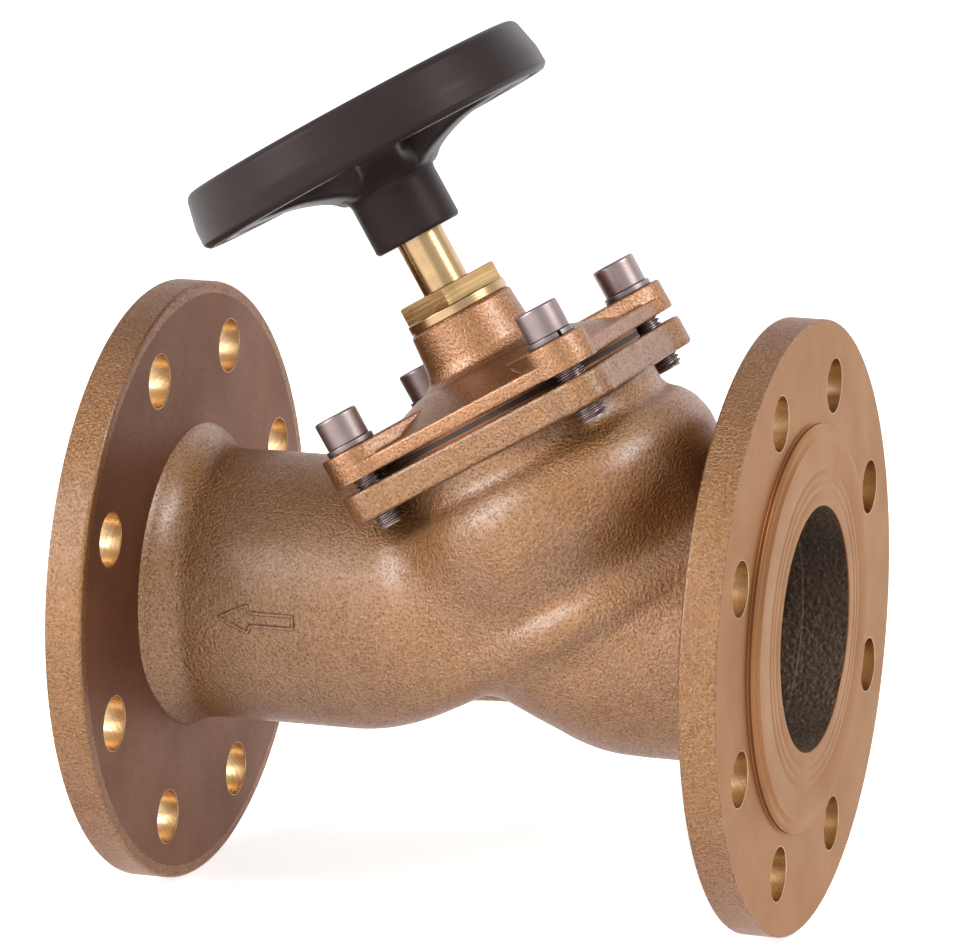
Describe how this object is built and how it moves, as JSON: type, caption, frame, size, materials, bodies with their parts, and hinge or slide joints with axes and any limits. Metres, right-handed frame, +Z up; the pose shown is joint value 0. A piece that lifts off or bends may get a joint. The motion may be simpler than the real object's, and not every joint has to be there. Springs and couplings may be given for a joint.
{
  "type": "globe valve",
  "caption": "Flanged globe valve with a slanted stem: cast bronze body, square bolted bonnet, rising stem with gland nut, seat and soft-faced disc, and a spoked plastic handwheel.",
  "frame": {"origin": "centre of the inlet's raised face, on the pipe axis", "axes": "+X out of the inlet along the pipe axis, so the flow runs towards -X; +Z up; the stem leans towards the outlet in the XZ plane, 60 degrees above the pipe axis; +Y completes the right-handed frame"},
  "size_m": [0.23, 0.2, 0.2916],
  "materials": {
    "body_bronze": "rough shot-blasted cast bronze, machined on the flange faces",
    "bonnet_bronze": "rough shot-blasted cast bronze, turned at the neck",
    "seat_bronze": "machined bronze",
    "disc_bronze": "machined bronze",
    "trim_brass": "machined brass",
    "gland_brass": "milled yellow brass",
    "stem_brass": "turned yellow brass",
    "gasket_fibre": "compressed fibre sheet",
    "packing_graphite": "braided graphite packing",
    "seal_ptfe": "PTFE seal face",
    "screw_steel": "dull zinc-plated steel",
    "washer_steel": "dull plated spring steel",
    "handwheel_plastic": "satin black moulded plastic"
  },
  "bodies": {
    "valve_body": {"body": "body_bronze", "seat_ring": "seat_bronze", "bonnet": "bonnet_bronze", "bonnet_gasket": "gasket_fibre", "bonnet_screws": "screw_steel", "spring_washers": "washer_steel", "packing_washer": "trim_brass", "packing_ring_1": "packing_graphite", "packing_ring_2": "packing_graphite", "packing_ring_3": "packing_graphite", "gland_follower": "trim_brass", "gland_nut": "gland_brass"},
    "disc_group": {"disc": "disc_bronze", "disc_seal": "seal_ptfe", "seal_washer": "trim_brass", "seal_lock_washer": "washer_steel", "seal_nut": "trim_brass", "stem_split_rings": "trim_brass", "disc_cap_nut": "trim_brass"},
    "stem_group": {"stem": "stem_brass", "handwheel": "handwheel_plastic", "handwheel_washer": "washer_steel", "handwheel_screw": "screw_steel"}
  },
  "joints": [
    {"name": "disc_lift", "type": "slide", "parent": "valve_body", "child": "disc_group", "axis": [-0.5, 0, 0.866], "range_m": [-0.016, 0.006]},
    {"name": "handwheel_turn", "type": "hinge", "parent": "disc_group", "child": "stem_group", "pos_m": [-0.065, 0, 0], "axis": [-0.5, 0, 0.866], "range_deg": [-1440, 540]}
  ],
  "couplings": [
    {"joint": "disc_lift", "follows": "handwheel_turn", "m_per_rad": 0.00063662}
  ]
}
